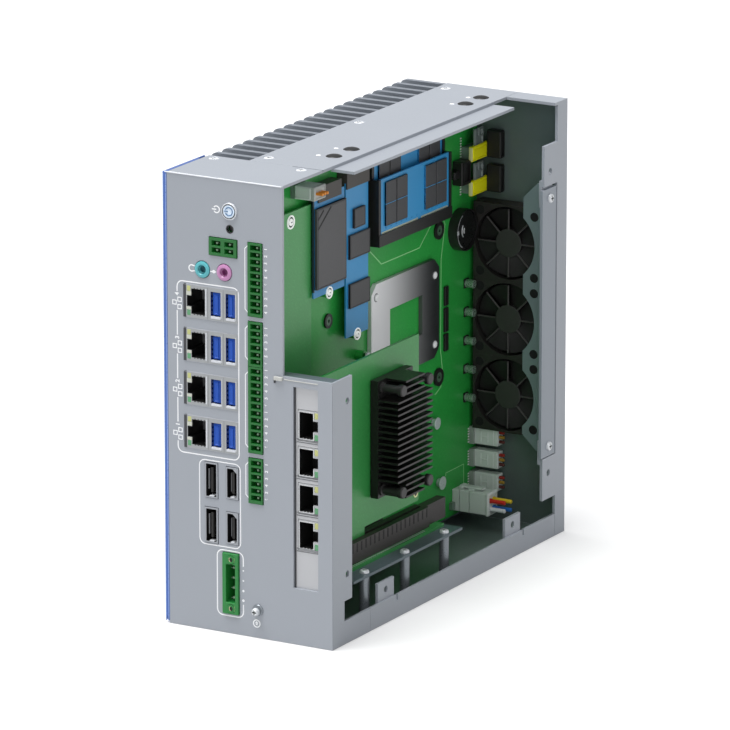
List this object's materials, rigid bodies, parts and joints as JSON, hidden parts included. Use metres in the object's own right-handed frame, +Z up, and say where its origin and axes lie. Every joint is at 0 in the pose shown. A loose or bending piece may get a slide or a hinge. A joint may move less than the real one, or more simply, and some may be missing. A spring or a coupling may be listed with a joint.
{
  "type": "industrial computer",
  "caption": "Upright box computer with a finned side, a front full of ports, and its side cover off to show the boards, cards and rear fans.",
  "frame": {"origin": "on the floor plane under the middle of the case", "axes": "+X to the open side, with the fins at -X; +Y to the rear, with the ports at -Y; +Z up"},
  "size_m": [0.0965, 0.24, 0.229],
  "materials": {
    "panel_grey": "satin powder coat, grey",
    "trim_blue": "satin, blue",
    "fin_grey": "satin grey anodised",
    "bracket_grey": "bare satin sheet",
    "screw_steel": "bright",
    "shield_steel": "tinned sheet",
    "plate_steel": "polished",
    "cell_steel": "bright",
    "pin_metal": "plated",
    "fan_black": "matt",
    "board_green": "solder mask, semi gloss",
    "card_green": "solder mask, semi gloss",
    "module_blue": "solder mask, semi gloss",
    "socket_black": "matt",
    "cooler_black": "black anodised",
    "terminal_green": "matt",
    "inlet_green": "matt",
    "sound_teal": "gloss",
    "sound_pink": "gloss",
    "cap_blue": "translucent look, gloss",
    "plug_yellow": "matt",
    "plug_grey": "matt",
    "dome_black": "soft",
    "copper": "bare"
  },
  "bodies": {
    "case": {"heat_sink": "fin_grey", "accent_trim": "trim_blue", "front_panel": "panel_grey", "top_panel": "panel_grey", "hole_plugs": "dome_black", "base_panel": "panel_grey", "rear_panel": "panel_grey", "fan_bracket": "panel_grey", "sound_block": "socket_black", "line_out_barrel": "sound_teal", "mic_barrel": "sound_pink", "gpio_header": "terminal_green", "com_header": "terminal_green", "can_header": "terminal_green", "switch_header": "terminal_green", "header_pins": "pin_metal", "dc_inlet": "inlet_green", "dc_inserts": "screw_steel", "button_bezel": "shield_steel", "main_board": "board_green", "io_board": "card_green", "cpu_backplate": "plate_steel", "cpu": "plate_steel", "thermal_block": "copper", "standoffs": "screw_steel", "nic_jack_block": "shield_steel", "nic_bracket": "bracket_grey", "nic_board": "card_green", "nic_heat_sink": "cooler_black", "nic_push_pins": "socket_black", "pcie_slot": "socket_black", "riser_board": "board_green", "riser_plate": "panel_grey", "sodimm_socket_1": "socket_black", "sodimm_1": "module_blue", "sodimm_socket_2": "socket_black", "sodimm_2": "module_blue", "m2_modem": "module_blue", "m2_ssd": "module_blue", "coin_cell_holder": "socket_black", "coin_cell": "cell_steel", "sata_plug_1": "plug_yellow", "sata_plug_2": "plug_yellow", "power_plug": "plug_grey", "lead_plugs": "plug_grey", "screws": "screw_steel", "fan_frame_1": "fan_black", "fan_frame_2": "fan_black", "fan_frame_3": "fan_black", "port_stack_1": "shield_steel", "port_stack_2": "shield_steel", "port_stack_3": "shield_steel", "port_stack_4": "shield_steel", "video_stack_1": "socket_black", "video_stack_2": "socket_black"},
    "rotor_low": {"fan_rotor_1": "fan_black"},
    "rotor_mid": {"fan_rotor_2": "fan_black"},
    "rotor_high": {"fan_rotor_3": "fan_black"},
    "power_key": {"power_button": "cap_blue"},
    "reset_key": {"reset_button": "socket_black"}
  },
  "joints": [
    {"name": "fan_1_spin", "type": "hinge", "parent": "case", "child": "rotor_low", "pos_m": [0.0192, 0.111, 0.0712], "axis": [0, 1, 0], "continuous": true},
    {"name": "fan_2_spin", "type": "hinge", "parent": "case", "child": "rotor_mid", "pos_m": [0.0192, 0.111, 0.1112], "axis": [0, 1, 0], "continuous": true},
    {"name": "fan_3_spin", "type": "hinge", "parent": "case", "child": "rotor_high", "pos_m": [0.0192, 0.111, 0.1512], "axis": [0, 1, 0], "continuous": true},
    {"name": "power_press", "type": "slide", "parent": "case", "child": "power_key", "axis": [0, 1, 0], "range_m": [0, 0.0008], "stiffness_N_per_m": 900, "springref_m": -0.0008},
    {"name": "reset_press", "type": "slide", "parent": "case", "child": "reset_key", "axis": [0, 1, 0], "range_m": [0, 0.0004], "stiffness_N_per_m": 900, "springref_m": -0.0006}
  ]
}
